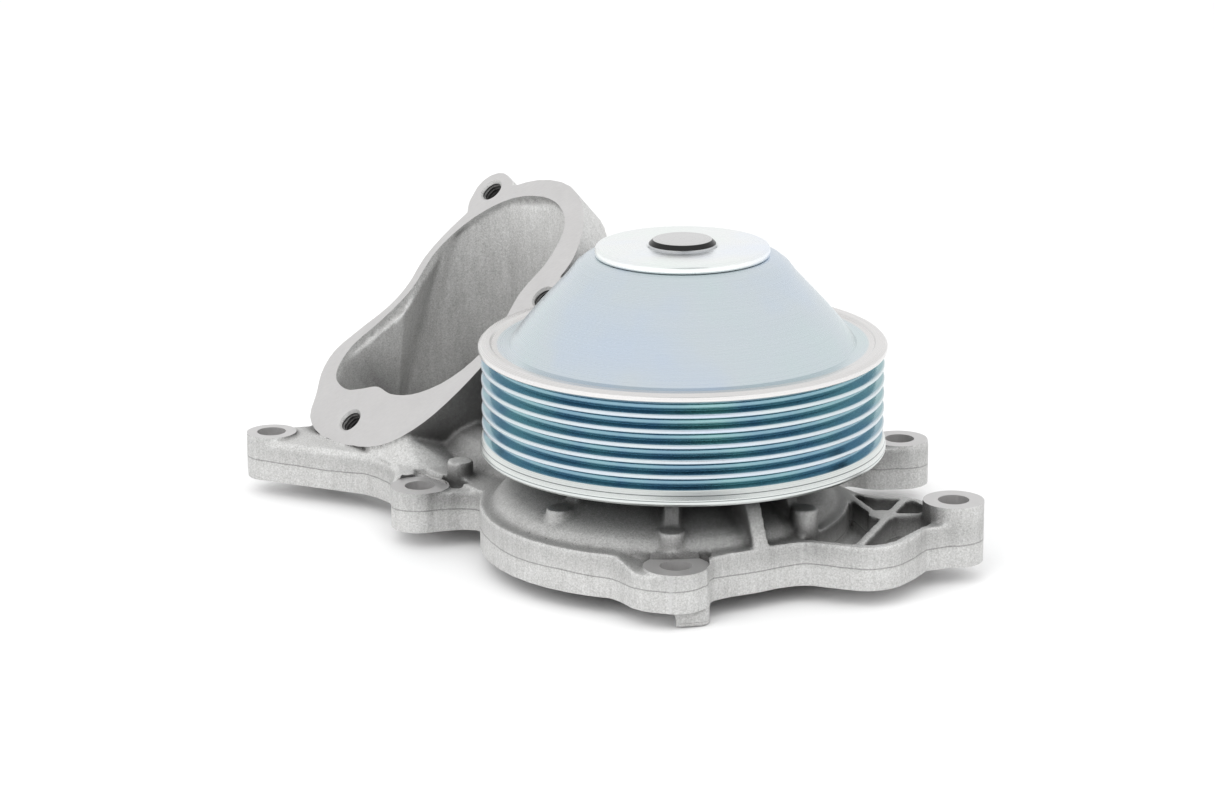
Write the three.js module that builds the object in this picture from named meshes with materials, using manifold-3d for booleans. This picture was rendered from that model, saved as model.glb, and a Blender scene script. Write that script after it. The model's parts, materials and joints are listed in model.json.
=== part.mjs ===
// Automotive water pump: die-cast housing with a duct neck, a six-rib belt pulley on a
// one-piece bearing shaft, the bearing's own parts, a mechanical seal and the impeller.
// Units are millimetres. +Z runs along the shaft towards the pulley. z = 0 is the plane
// that bolts against the engine, and the origin is the middle of the shaft's rear end.
import * as THREE from 'three';
import { ConvexGeometry } from 'three/addons/geometries/ConvexGeometry.js';
import { mergeVertices } from 'three/addons/utils/BufferGeometryUtils.js';
import Module from 'manifold-3d';

const wasm = await Module();
wasm.setup();

// ---------------------------------------------------------------- driving dimensions
const RIB_COUNT = 6;
const RIB_PITCH = 3.56;
const RIB_TIP_RADIUS = 48;
const GROOVE_DEPTH = 2.3;
const GROOVE_MOUTH = 2.7;
const GROOVE_FLOOR = 1.0;
const RIM_LIP_RADIUS = 48.6;
const RIM_TOP_Z = 49.9;
const FIRST_GROOVE_Z = 47.6;
const RIM_BOTTOM_Z = 23.3;
const RIM_INNER_RADIUS = 42.9;
const SHEET_THICKNESS = 2.6;
const HUB_DISC_RADIUS = 20.7;
const HUB_TOP_Z = 72.8;
const HUB_DISC_THICKNESS = 2;
const HUB_BOSS_RADIUS = 12;

const SHAFT_RADIUS = 7.959;
const SHAFT_TAIL_RADIUS = 6;
const SHAFT_TOP_Z = 74.3;

const BEARING_RADIUS = 15;
const BEARING_Z = [25.6, 63.6];
const RACE_RADIUS = 11.4;
const ROLLING_CIRCLE = 10.2;
const BALL_RADIUS = 3;
const BALL_COUNT = 8;
const BALL_ROW_Z = 54;
const ROLLER_RADIUS = 2.4;
const ROLLER_LENGTH = 10;
const ROLLER_COUNT = 10;
const ROLLER_ROW_Z = 36;
const FILM = 0.1;
const GAP = 0.3;
// Facets round a small turned part.
const SMOOTH = 24;
// Facets round a large turned part.
const ROUND = 48;

const FLANGE_Z = 10.5;
const FOOT_Z = 7;
const DIP_Z = 8.6;
const LAND = 7.7;
const VOLUTE_CENTRE = [-4.5, -1];
const CAVITY_RADIUS = 36.7;
const CAVITY_ROOF_Z = 11.8;
const DOME_RADIUS = 41.2;
const DOME_TOP_Z = 19.6;
const TOWER_RADIUS = 18.4;
const TOWER_TOP_Z = 63;
const SEAL_BORE_RADIUS = 15.5;
const SEAL_BORE_TOP_Z = 21;
const WALL = 3.5;
const BOLT_RADIUS = 3.7;
const IMPELLER_RADIUS = 29;

// Every mounting boss: where it stands, how wide and how tall it is.
const BOSSES = {
  left: { at: [-105.5, 53.7], radius: 6.4, top: 11.3 },
  front_left: { at: [-64.2, 11.2], radius: 7.2, top: 10 },
  front: { at: [-1.6, -47.4], radius: 7.4, top: 9.2 },
  right: { at: [63.8, -15], radius: 7.3, top: 14.6 },
  rear_right: { at: [55, 47.2], radius: 7.1, top: 11.2 },
  rear: { at: [12, 55], radius: 7.1, top: 11.2 },
  rear_left: { at: [-55, 106], radius: 7.1, top: 11.2 },
};

// The duct neck ends in a tilted machined face. Its own axes are u (level), v (up the
// slope) and the outward normal, from a point on the face's lower edge.
const MOUTH_ORIGIN = new THREE.Vector3(-84.1, 40.5, 10.5);
const MOUTH_HEADING = THREE.MathUtils.degToRad(220);
const MOUTH_TILT = THREE.MathUtils.degToRad(43);
const DUCT_WALL = 4;
// The opening and the outer edge of the face, as points of closed curves: u, v.
const MOUTH_OPENING = [
  [2, 83.3], [-9, 80.2], [-17.5, 71.5], [-21.7, 60], [-20.3, 47], [-22.8, 36.3], [-26.6, 26],
  [-24.5, 17.5], [-17, 14.8], [-11.6, 16.4], [-6.8, 18.4], [0, 17.7], [8.1, 19.9], [15.8, 26.3],
  [20.4, 36], [20.4, 46], [18.8, 55.5], [20.2, 66], [17.5, 76.5], [10.5, 81.9],
];
const MOUTH_EDGE = [
  [-7, 0.8], [4, 1.8], [12, 5.6], [18, 12.8], [21.6, 21.5], [24, 32], [25.2, 44], [26.6, 56],
  [28.6, 66], [25.8, 74.7], [18.2, 83.7], [8.5, 88.4], [-2.8, 88], [-12, 83.5], [-19.2, 76],
  [-23, 66], [-24.2, 56.8], [-22.8, 48], [-24, 40.5], [-28.4, 31.6], [-31.6, 23.5], [-30.4, 17],
  [-26.5, 10.9], [-22.8, 4.5], [-16, 1.2],
];
const COLLAR_DEPTH = 12;
const THROAT_DEPTH = 2;
// Round corners of the duct behind the collar: u, v, radius.
const MOUTH_CORNERS = [[-18.2, 23.3, 8.2], [1, 38.3, 19.3], [6, 69.5, 13.6], [-4, 61.5, 17.5], [-6.5, 72.3, 8.4]];
const MOUTH_BOLTS = [[-18.3, 81.3], [27.6, 56], [-7.5, 7.3]];
const MOUTH_THREAD_RADIUS = 2.55;
const MOUTH_THREAD_DEPTH = 11;

// Flat ejector pads on the casting's upper side: x, y and height.
const EJECTOR_PADS = [[-28.6, -27, 16.5], [-2.6, -39.6, 15], [28.3, -27.3, 16.7], [-54.7, 17.6, 14.5]];

// Passage from the volute to the chamber under the neck, as round corners: x, y, radius.
const CHANNEL_CORNERS = [[-60, 49, 11], [-34, 16, 11]];
const CHAMBER_CORNERS = [[-82, 60, 7], [-66, 48, 9.5], [-46, 62, 12], [-53, 84, 11], [-70, 80, 10]];

// ---------------------------------------------------------------- solid helpers
function solid(geometry) {
  const bare = geometry.clone();
  bare.deleteAttribute('normal');
  bare.deleteAttribute('uv');
  const merged = mergeVertices(bare, 1e-5);
  const source = merged.index.array;
  const kept = [];
  for (let i = 0; i < source.length; i += 3) {
    const [a, b, c] = [source[i], source[i + 1], source[i + 2]];
    if (a !== b && b !== c && a !== c) kept.push(a, b, c);
  }
  return new wasm.Manifold(new wasm.Mesh({
    numProp: 3,
    vertProperties: new Float32Array(merged.attributes.position.array),
    triVerts: new Uint32Array(kept),
  }));
}

function geometry_of(body) {
  const mesh = body.getMesh();
  const geometry = new THREE.BufferGeometry();
  geometry.setAttribute('position', new THREE.BufferAttribute(new Float32Array(mesh.vertProperties), 3));
  geometry.setIndex(new THREE.BufferAttribute(new Uint32Array(mesh.triVerts), 1));
  geometry.computeVertexNormals();
  return geometry;
}

// Merges slivers and flat neighbours that cutting leaves behind.
function tidy(body) {
  return body.asOriginal().simplify(0.05);
}

function union(bodies) {
  return bodies.reduce((sum, body) => sum.add(body));
}

// A closed profile of [radius, z] points turned about the Z axis, or about [x, y].
function turned(profile, segments = SMOOTH, centre = [0, 0]) {
  const points = profile.map(([r, z]) => new THREE.Vector2(r, z));
  const on_axis = profile[0][0] === 0;
  if (THREE.ShapeUtils.area(points) < 0) points.reverse();
  if (!on_axis) points.push(points[0].clone());
  const geometry = new THREE.LatheGeometry(points, segments);
  geometry.rotateX(Math.PI / 2);
  geometry.translate(centre[0], centre[1], 0);
  return solid(geometry);
}

function rod(radius, z0, z1, centre = [0, 0], segments = 24) {
  const geometry = new THREE.CylinderGeometry(radius, radius, z1 - z0, segments);
  geometry.rotateX(Math.PI / 2);
  geometry.translate(centre[0], centre[1], (z0 + z1) / 2);
  return solid(geometry);
}

function plate(outline, z0, z1) {
  const shape = outline instanceof THREE.Shape ? outline : new THREE.Shape(outline.map(([x, y]) => new THREE.Vector2(x, y)));
  const geometry = new THREE.ExtrudeGeometry(shape, { depth: z1 - z0, bevelEnabled: false, curveSegments: 6 });
  geometry.translate(0, 0, z0);
  return solid(geometry);
}

function hull(points) {
  return solid(new ConvexGeometry(points));
}

function circle_points(x, y, radius, z, count = 16) {
  return Array.from({ length: count }, (_, i) => {
    const turn = (i / count) * 2 * Math.PI;
    return new THREE.Vector3(x + radius * Math.cos(turn), y + radius * Math.sin(turn), z);
  });
}

// The convex block around a set of round corners, each grown by the same amount.
function rounded_block(corners, grown, z0, z1) {
  const points = corners.flatMap(([x, y, r]) => [
    ...circle_points(x, y, r + grown, z0),
    ...circle_points(x, y, r + grown, z1),
  ]);
  return hull(points);
}

// A straight bar between two points on the ground plane.
function bar(from, to, width, z0, z1) {
  const [x0, y0] = from;
  const [x1, y1] = to;
  const length = Math.hypot(x1 - x0, y1 - y0);
  const geometry = new THREE.BoxGeometry(length, width, z1 - z0);
  geometry.rotateZ(Math.atan2(y1 - y0, x1 - x0));
  geometry.translate((x0 + x1) / 2, (y0 + y1) / 2, (z0 + z1) / 2);
  return solid(geometry);
}

// ---------------------------------------------------------------- housing casting
function mouth_frame() {
  const normal = new THREE.Vector3(
    Math.sin(MOUTH_TILT) * Math.cos(MOUTH_HEADING),
    Math.sin(MOUTH_TILT) * Math.sin(MOUTH_HEADING),
    Math.cos(MOUTH_TILT),
  );
  const u = new THREE.Vector3(0, 0, 1).cross(normal).normalize();
  const v = normal.clone().cross(u);
  return new THREE.Matrix4().makeBasis(u, v, normal).setPosition(MOUTH_ORIGIN);
}

const TO_MOUTH = mouth_frame();

function corner_points_on_mouth(corners, grown, depth) {
  return corners
    .flatMap(([u, v, r]) => circle_points(u, v, r + grown, -depth))
    .map((point) => point.applyMatrix4(TO_MOUTH));
}

function mouth_block(corners, grown, front, back) {
  return hull([
    ...corner_points_on_mouth(corners, grown, front),
    ...corner_points_on_mouth(corners, grown, back),
  ]);
}

function corner_points_on_ground(corners, grown, z) {
  return corners.flatMap(([x, y, r]) => circle_points(x, y, r + grown, z));
}

// A closed outline on the mouth face, swept back into the neck.
function mouth_sweep(outline, front, back) {
  const curve = new THREE.CatmullRomCurve3(outline.map(([u, v]) => new THREE.Vector3(u, v, 0)), true, 'centripetal');
  const shape = new THREE.Shape(curve.getPoints(64).slice(0, -1).map(({ x, y }) => new THREE.Vector2(x, y)));
  const geometry = new THREE.ExtrudeGeometry(shape, { depth: back - front, bevelEnabled: false });
  geometry.translate(0, 0, -back);
  geometry.applyMatrix4(TO_MOUTH);
  return solid(geometry);
}

// The two faces of the neck: the outside wall, then the duct inside it.
function neck_outside() {
  const upper_lug = hull([
    ...corner_points_on_mouth([[-18.3, 81.3, 5.9]], 0, 0),
    ...corner_points_on_mouth([[-18, 80.8, 5.6]], 0, 8),
    ...corner_points_on_mouth([[-12, 74, 7]], 0, 24),
    ...corner_points_on_mouth([[-10, 72, 12]], 0, 3),
  ]);
  const side_lug = mouth_block([[27.6, 56, 6.6], [17, 55, 9]], 0, 0, 16);
  const collar = mouth_sweep(MOUTH_EDGE, 0, COLLAR_DEPTH);
  const descent = hull([
    ...corner_points_on_mouth(MOUTH_CORNERS, DUCT_WALL, COLLAR_DEPTH - 2.5),
    ...corner_points_on_mouth([[-4.5, 60, 21]], 0, 4),
    ...corner_points_on_ground(CHAMBER_CORNERS, LAND - 2.4, 0),
    ...corner_points_on_ground(CHAMBER_CORNERS, LAND - 2.4, FOOT_Z),
  ]);
  const ramp = hull([
    ...corner_points_on_mouth([[3, 3, 1], [13, 8.6, 1]], 0, 0.8),
    ...corner_points_on_mouth([[3, 3, 1], [16, 14, 1]], 0, 10),
    ...corner_points_on_ground([[-72, 30, 2], [-64.5, 26, 2.5], [-59.5, 28, 3]], 0, FLANGE_Z),
    ...corner_points_on_ground([[-64.5, 26, 2.5], [-59.5, 28, 3]], 0, FOOT_Z),
  ]);
  return union([collar, descent, ramp, upper_lug, side_lug]);
}

function neck_inside() {
  const throat = mouth_sweep(MOUTH_OPENING, -1, THROAT_DEPTH);
  // Two lobes, so that the wall keeps its thickness at the waist of the mouth.
  const lobes = [MOUTH_CORNERS.slice(0, 2), MOUTH_CORNERS.slice(1)].map((corners) => hull([
    ...corner_points_on_mouth(corners, 0, THROAT_DEPTH - 1),
    ...corner_points_on_ground(CHAMBER_CORNERS, -0.5, -1),
  ]));
  return union([throat, ...lobes, rounded_block(CHAMBER_CORNERS, 0, -1, FOOT_Z)]);
}

// A low dome along the passage between the volute and the chamber.
function passage_dome(grown, z0) {
  const heights = [18.5, 16.5];
  const points = CHANNEL_CORNERS.flatMap(([x, y, r], i) => {
    const ball = new THREE.SphereGeometry(1, 16, 12);
    ball.scale(r + grown, r + grown, heights[i] + grown);
    ball.translate(x, y, 0);
    const spots = ball.attributes.position;
    return Array.from({ length: spots.count }, (_, k) => new THREE.Vector3().fromBufferAttribute(spots, k))
      .filter((spot) => spot.z >= -0.01);
  });
  const foot = corner_points_on_ground(CHANNEL_CORNERS, grown, z0);
  return hull([...points, ...foot]);
}

// Everything that touches the engine, as one land of even width round the wet spaces.
function wet_footprint(grown, z0, z1) {
  return union([
    rod(CAVITY_RADIUS + grown, z0, z1, VOLUTE_CENTRE, ROUND),
    rounded_block(CHANNEL_CORNERS, grown, z0, z1),
    rounded_block(CHAMBER_CORNERS, grown, z0, z1),
  ]);
}

// Wavy front edge and straight rear edge of the arm that carries the right boss.
function right_arm_outline(inset) {
  const shape = new THREE.Shape();
  shape.moveTo(20, -34 + inset);
  shape.lineTo(22.5 + inset / 2, -36.4 + inset);
  shape.splineThru([
    new THREE.Vector2(28.5, -34.6 + inset),
    new THREE.Vector2(34.6, -36.6 + inset),
    new THREE.Vector2(42.2, -38.7 + inset),
    new THREE.Vector2(48.8 - inset / 3, -36.4 + inset),
    new THREE.Vector2(53.6 - inset / 1.4, -30.4 + inset / 1.4),
    new THREE.Vector2(57 - inset / 2, -24.2 + inset / 2),
  ]);
  shape.lineTo(62.4 - 1.6 * inset, -22.1 + inset);
  shape.lineTo(62.4 - 1.6 * inset, -7.9 - inset / 2);
  shape.splineThru([
    new THREE.Vector2(57.6 - inset / 2, -2.6 - inset),
    new THREE.Vector2(53.6, 0.5 - inset),
    new THREE.Vector2(44, 2.5 - inset),
    new THREE.Vector2(38.2 + inset / 2, 9.8 - inset),
  ]);
  shape.lineTo(30, 12);
  shape.lineTo(20, 0);
  return shape;
}

function right_arm() {
  const rim = 2.4;
  const floor_z = 4;
  const block = plate(right_arm_outline(0), 0, FLANGE_Z);
  const pocket = plate(right_arm_outline(rim), floor_z, FLANGE_Z + 1);
  const pad = [47.2, -13.3];
  const ribs = union([
    bar([37.4, 9], [45.2, -12], 2.2, 2, FLANGE_Z),
    bar([40.6, -36], [53.6, 0], 2.2, 2, FLANGE_Z),
    bar(pad, [60, -13.5], 2, 2, FLANGE_Z),
    rod(3.5, 2, FLANGE_Z, pad, 16),
  ]);
  return block.subtract(pocket.subtract(ribs));
}

function arms() {
  const left_front = plate([
    [-106, 47], [-80, 35.6], [-76.6, 32.6], [-73.2, 28.4], [-71.4, 24], [-71.4, 11.2],
    [-64.2, 4.2], [-54, 7], [-50, 6.5], [-47, 3], [-40, 20], [-60, 50], [-84, 72], [-104, 60],
  ], 0, FLANGE_Z - 1);
  const left_top = plate([
    [-106, 47.6], [-80, 36.2], [-76.4, 33.2], [-72.4, 28.4], [-70.6, 24], [-70.6, 17],
    [-66, 17], [-66, 24], [-69, 32], [-76, 41], [-80, 50], [-95, 62], [-104, 59.6],
  ], 2, FLANGE_Z);
  const front_flare = plate([
    [-17, -43.2], [-14.2, -46.2], [-11.6, -50.4], [-8.4, -53], [-4, -54.3], [-1, -54.6],
    [5.6, -50.6], [6, -47.6], [7, -45.4], [11, -42.6], [4, -40], [-14, -39],
  ], 0, FLANGE_Z);
  const rear_right = union([
    rounded_block([[55, 47, 7.4], [49.4, 47, 7.8]], 0, 0, FLANGE_Z),
    plate([[46, 40.4], [48, 54.6], [20, 46], [10, 36], [33, 18], [38, 30], [41.4, 42.4]], 0, FLANGE_Z),
  ]);
  const rear_right_pocket = plate([[44.6, 44.6], [46, 51], [24, 43.6], [33.6, 33.4], [38.8, 44.4]], 4, FLANGE_Z + 1);
  const rear = rounded_block([[12, 55, 7.1], [4, 38, 10]], 0, 0, FLANGE_Z);
  const rear_left = rounded_block([[-55, 106, 7.1], [-56, 92, 12]], 0, 0, FLANGE_Z);
  const lug = plate([[-1.2, -52], [5.2, -50.4], [6.2, -49], [6.2, -44.6], [-2.6, -44.6], [-2.6, -50.8]], -4.4, 5);
  return union([
    left_front, left_top, front_flare, rear_right.subtract(rear_right_pocket),
    rear, rear_left, lug, right_arm(),
  ]);
}

// The flange dips beside the front boss, with a slope at its left end.
function front_dip() {
  return hull([[-15.4, -45.6], [-13.4, -40]].map(([x, y]) => new THREE.Vector3(x, y, FLANGE_Z + 0.1))
    .concat([[-10.6, -56], [-10, -40], [6.2, -40], [6.2, -56]].flatMap(([x, y]) => [
      new THREE.Vector3(x, y, DIP_Z), new THREE.Vector3(x, y, FLANGE_Z + 4),
    ])));
}

// Volute dome and the bearing tower that stands on it.
function dome_and_tower() {
  const dome = turned([
    [0, 5], [DOME_RADIUS, 5], [DOME_RADIUS, 10.6], [DOME_RADIUS - 0.6, 11.7], [DOME_RADIUS - 1.8, 13],
    [DOME_RADIUS - 3.8, 14.3], [DOME_RADIUS - 6.6, 15.6], [DOME_RADIUS - 9.8, 17.2],
    [DOME_RADIUS - 13.2, 18.7], [DOME_RADIUS - 16.4, DOME_TOP_Z], [0, DOME_TOP_Z],
  ], ROUND, VOLUTE_CENTRE);
  const tower = turned([
    [0, 14], [24.4, 14], [24.4, DOME_TOP_Z], [22.4, 20.8], [20.8, 23.4], [19.6, 28],
    [TOWER_RADIUS, TOWER_TOP_Z - 1], [TOWER_RADIUS - 1, TOWER_TOP_Z], [0, TOWER_TOP_Z],
  ], 32);
  return dome.add(tower);
}

// A gusset standing on the dome, from the tower out to a radius, at an angle.
function gusset(angle, foot, shoulder, width) {
  const profile = new THREE.Shape();
  profile.moveTo(15.4, 14);
  profile.lineTo(foot - 4, FOOT_Z);
  profile.lineTo(foot, FOOT_Z);
  profile.lineTo(foot, FLANGE_Z);
  profile.lineTo(shoulder, DOME_TOP_Z);
  profile.lineTo(shoulder - 4, DOME_TOP_Z + 4);
  profile.lineTo(17.4, 44);
  profile.lineTo(15.4, 44);
  const geometry = new THREE.ExtrudeGeometry(profile, { depth: width, bevelEnabled: false });
  geometry.translate(0, 0, -width / 2);
  geometry.rotateX(Math.PI / 2);
  geometry.rotateZ(THREE.MathUtils.degToRad(angle));
  return solid(geometry);
}

function polar(radius, angle) {
  const turn = THREE.MathUtils.degToRad(angle);
  return [radius * Math.cos(turn), radius * Math.sin(turn)];
}

function housing() {
  const gussets = [
    gusset(266, 39, 36, 3.6), gusset(295, 43, 38.6, 3.8), gusset(316, 38, 35, 3.4),
    gusset(223, 38, 35, 3.6), gusset(10, 34, 31, 3.4), gusset(60, 34, 31, 3.4),
    gusset(112, 36, 33, 3.4), gusset(165, 36, 33, 3.4),
  ];
  const recess = plate([[-60.4, 15.4], [-56, 10.5], [-52, 11.6], [-57.4, 20]], DIP_Z - 1, FLANGE_Z + 1);
  const base = union([wet_footprint(LAND, 0, FLANGE_Z), arms()]).subtract(front_dip().add(recess));
  const pads = EJECTOR_PADS.map(([x, y, top]) => rod(3.25, 5, top, [x, y], 16));
  const bosses = Object.values(BOSSES).map(({ at, radius, top }) => rod(radius, 0, top, at, 20));
  const skin = union([
    base, dome_and_tower(), neck_outside(), passage_dome(0, 0), ...gussets, ...pads, ...bosses,
  ]);

  const cavity = turned([
    [0, -1], [CAVITY_RADIUS, -1], [CAVITY_RADIUS, 8.2], [CAVITY_RADIUS - 0.7, 9.8], [CAVITY_RADIUS - 2.3, 11],
    [CAVITY_RADIUS - 5, CAVITY_ROOF_Z], [0, CAVITY_ROOF_Z],
  ], ROUND, VOLUTE_CENTRE);
  const bore = turned([
    [0, -1], [SEAL_BORE_RADIUS, -1], [SEAL_BORE_RADIUS, SEAL_BORE_TOP_Z], [10, SEAL_BORE_TOP_Z],
    [10, BEARING_Z[0] - 0.4], [BEARING_RADIUS + 0.05, BEARING_Z[0] - 0.4],
    [BEARING_RADIUS + 0.05, TOWER_TOP_Z + 1], [0, TOWER_TOP_Z + 1],
  ], SMOOTH);
  const bolts = Object.values(BOSSES).map(({ at }) => rod(BOLT_RADIUS, -6, 20, at, 16));
  const threads = MOUTH_BOLTS.map(([u, v]) => mouth_block([[u, v, MOUTH_THREAD_RADIUS]], 0, -1, MOUTH_THREAD_DEPTH));
  const weep = new THREE.CylinderGeometry(1.7, 1.7, 30, 12);
  weep.translate(0, 24, 23);
  const seal_groove = wet_footprint(5, -1, 2.2).subtract(wet_footprint(2.2, -2, 3));
  const pulley_room = rod(RIM_LIP_RADIUS + 1.9, DOME_TOP_Z, 90, [0, 0], 48)
    .subtract(rod(RIM_INNER_RADIUS - 1.4, DOME_TOP_Z - 5, 91, [0, 0], 48));
  const trough = rounded_block(CHANNEL_CORNERS, 0, -1, 4);
  return tidy(skin
    .subtract(pulley_room)
    .subtract(union([cavity, trough, passage_dome(-WALL, -1), neck_inside(), bore, solid(weep)]))
    .subtract(union([...bolts, ...threads]))
    .subtract(seal_groove));
}

function face_gasket() {
  return tidy(wet_footprint(4.7, 0.05, 1.9).subtract(wet_footprint(2.5, -1, 3)));
}

// ---------------------------------------------------------------- pulley and hub
function groove_profile() {
  const points = [];
  for (let i = RIB_COUNT - 1; i >= 0; i -= 1) {
    const top = FIRST_GROOVE_Z - RIB_PITCH * i;
    const flank = (GROOVE_MOUTH - GROOVE_FLOOR) / 2;
    points.push([RIB_TIP_RADIUS, top - GROOVE_MOUTH]);
    points.push([RIB_TIP_RADIUS - GROOVE_DEPTH, top - GROOVE_MOUTH + flank]);
    points.push([RIB_TIP_RADIUS - GROOVE_DEPTH, top - flank]);
    points.push([RIB_TIP_RADIUS, top]);
  }
  return points;
}

function pulley() {
  const outer_dome = new THREE.SplineCurve([
    [41.4, RIM_TOP_Z - 0.6], [39, 52.6], [33.6, 59], [28, 64.9], [24.6, 69.1], [21.6, 70.5],
  ].map(([r, z]) => new THREE.Vector2(r, z)));
  const steps = 8;
  const dome = outer_dome.getPoints(steps);
  const under = dome.map((point, i) => {
    const way = outer_dome.getTangent(i / steps);
    return new THREE.Vector2(point.x - way.y * SHEET_THICKNESS, point.y + way.x * SHEET_THICKNESS);
  });
  const bore = HUB_BOSS_RADIUS + GAP;
  const outside = [
    [RIM_INNER_RADIUS, RIM_BOTTOM_Z], [RIM_LIP_RADIUS - 0.7, RIM_BOTTOM_Z],
    [RIM_LIP_RADIUS - 0.1, RIM_BOTTOM_Z + 0.7], [RIM_LIP_RADIUS - 0.1, RIM_BOTTOM_Z + 1.6],
    ...groove_profile(),
    [RIM_LIP_RADIUS, FIRST_GROOVE_Z + 0.5], [RIM_LIP_RADIUS, RIM_TOP_Z - 0.7],
    [RIM_LIP_RADIUS - 0.7, RIM_TOP_Z], [45.8, RIM_TOP_Z], [45.5, RIM_TOP_Z - 0.6],
    ...dome.map((point) => [point.x, point.y]),
    [bore, 70.5], [bore, 70.5 - SHEET_THICKNESS],
  ];
  const inside = under
    .reverse()
    .filter((point) => point.x > bore + 1 && point.x < RIM_INNER_RADIUS - 2 && point.y < 70.5 - SHEET_THICKNESS + 0.01)
    .map((point) => [point.x, point.y]);
  const web_z = RIM_TOP_Z - 0.6 - SHEET_THICKNESS;
  return turned([...outside, ...inside, [RIM_INNER_RADIUS - 2, web_z - 0.4], [RIM_INNER_RADIUS, web_z - 2.4]], 42);
}

function pulley_hub() {
  const disc_bottom = HUB_TOP_Z - HUB_DISC_THICKNESS;
  return turned([
    [SHAFT_RADIUS + 0.04, 65.4], [HUB_BOSS_RADIUS - 0.8, 65.4], [HUB_BOSS_RADIUS, 66.2],
    [HUB_BOSS_RADIUS, disc_bottom], [HUB_DISC_RADIUS - 0.5, disc_bottom], [HUB_DISC_RADIUS, disc_bottom + 0.5],
    [HUB_DISC_RADIUS, HUB_TOP_Z - 0.9], [HUB_DISC_RADIUS - 0.4, HUB_TOP_Z - 0.3],
    [HUB_DISC_RADIUS - 1.3, HUB_TOP_Z], [SHAFT_RADIUS + 0.6, HUB_TOP_Z], [SHAFT_RADIUS + 0.04, HUB_TOP_Z - 0.5],
  ], 32);
}

// ---------------------------------------------------------------- shaft and bearing
function arc_profile(centre_r, centre_z, radius, from, to, count = 6) {
  return Array.from({ length: count + 1 }, (_, i) => {
    const turn = from + ((to - from) * i) / count;
    return [centre_r + radius * Math.cos(turn), centre_z + radius * Math.sin(turn)];
  });
}

function shaft() {
  const groove = BALL_RADIUS + FILM;
  const half = Math.acos((ROLLING_CIRCLE - SHAFT_RADIUS) / groove);
  const ball_track = arc_profile(ROLLING_CIRCLE, BALL_ROW_Z, groove, Math.PI + half, Math.PI - half);
  const track = ROLLING_CIRCLE - ROLLER_RADIUS - FILM;
  const reach = ROLLER_LENGTH / 2 + 0.6;
  return turned([
    [0, 0], [SHAFT_TAIL_RADIUS - 0.8, 0], [SHAFT_TAIL_RADIUS, 0.8], [SHAFT_TAIL_RADIUS, 23],
    [SHAFT_RADIUS, 24.2], [SHAFT_RADIUS, ROLLER_ROW_Z - reach], [track, ROLLER_ROW_Z - reach],
    [track, ROLLER_ROW_Z + reach], [SHAFT_RADIUS, ROLLER_ROW_Z + reach],
    ...ball_track,
    [SHAFT_RADIUS, SHAFT_TOP_Z - 1], [SHAFT_RADIUS - 1, SHAFT_TOP_Z], [0, SHAFT_TOP_Z],
  ], SMOOTH);
}

function bearing_outer_ring() {
  const groove = BALL_RADIUS + FILM;
  const half = Math.acos((RACE_RADIUS - ROLLING_CIRCLE) / groove);
  const ball_track = arc_profile(ROLLING_CIRCLE, BALL_ROW_Z, groove, half, -half);
  const track = ROLLING_CIRCLE + ROLLER_RADIUS + FILM;
  const reach = ROLLER_LENGTH / 2 + 0.6;
  const [z0, z1] = BEARING_Z;
  return turned([
    [RACE_RADIUS, z0], [BEARING_RADIUS - 0.6, z0], [BEARING_RADIUS, z0 + 0.6], [BEARING_RADIUS, z1 - 0.6],
    [BEARING_RADIUS - 0.6, z1], [RACE_RADIUS, z1],
    ...ball_track,
    [RACE_RADIUS, ROLLER_ROW_Z + reach], [track, ROLLER_ROW_Z + reach],
    [track, ROLLER_ROW_Z - reach], [RACE_RADIUS, ROLLER_ROW_Z - reach],
  ], SMOOTH);
}

function ball(index) {
  const [x, y] = polar(ROLLING_CIRCLE, (360 / BALL_COUNT) * index);
  const geometry = new THREE.SphereGeometry(BALL_RADIUS, 12, 7);
  geometry.rotateX(Math.PI / 2);
  geometry.translate(x, y, BALL_ROW_Z);
  return solid(geometry);
}

function roller(index) {
  const at = polar(ROLLING_CIRCLE, (360 / ROLLER_COUNT) * index);
  return rod(ROLLER_RADIUS, ROLLER_ROW_Z - ROLLER_LENGTH / 2, ROLLER_ROW_Z + ROLLER_LENGTH / 2, at, 14);
}

function ring(inner, outer, z0, z1) {
  return turned([[inner, z0], [outer, z0], [outer, z1], [inner, z1]], SMOOTH);
}

function ball_cage() {
  const pockets = Array.from({ length: BALL_COUNT }, (_, i) => {
    const [x, y] = polar(ROLLING_CIRCLE, (360 / BALL_COUNT) * i);
    const geometry = new THREE.SphereGeometry(BALL_RADIUS + 0.25, 12, 7);
    geometry.rotateX(Math.PI / 2);
    geometry.translate(x, y, BALL_ROW_Z);
    return solid(geometry);
  });
  return tidy(ring(8.7, 10.9, BALL_ROW_Z - 4.2, BALL_ROW_Z + 4.2).subtract(union(pockets)));
}

function roller_cage() {
  const reach = ROLLER_LENGTH / 2 + 0.25;
  const pockets = Array.from({ length: ROLLER_COUNT }, (_, i) => (
    rod(ROLLER_RADIUS + 0.25, ROLLER_ROW_Z - reach, ROLLER_ROW_Z + reach, polar(ROLLING_CIRCLE, (360 / ROLLER_COUNT) * i), 14)
  ));
  return ring(8.7, 10.9, ROLLER_ROW_Z - reach - 1.4, ROLLER_ROW_Z + reach + 1.4).subtract(union(pockets));
}

function bearing_seal(z0) {
  return turned([
    [8.2, z0 + 0.2], [9, z0], [RACE_RADIUS - FILM, z0], [RACE_RADIUS - FILM, z0 + 1.3],
    [9.4, z0 + 1.3], [8.8, z0 + 0.8], [8.2, z0 + 0.9],
  ], SMOOTH);
}

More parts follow.
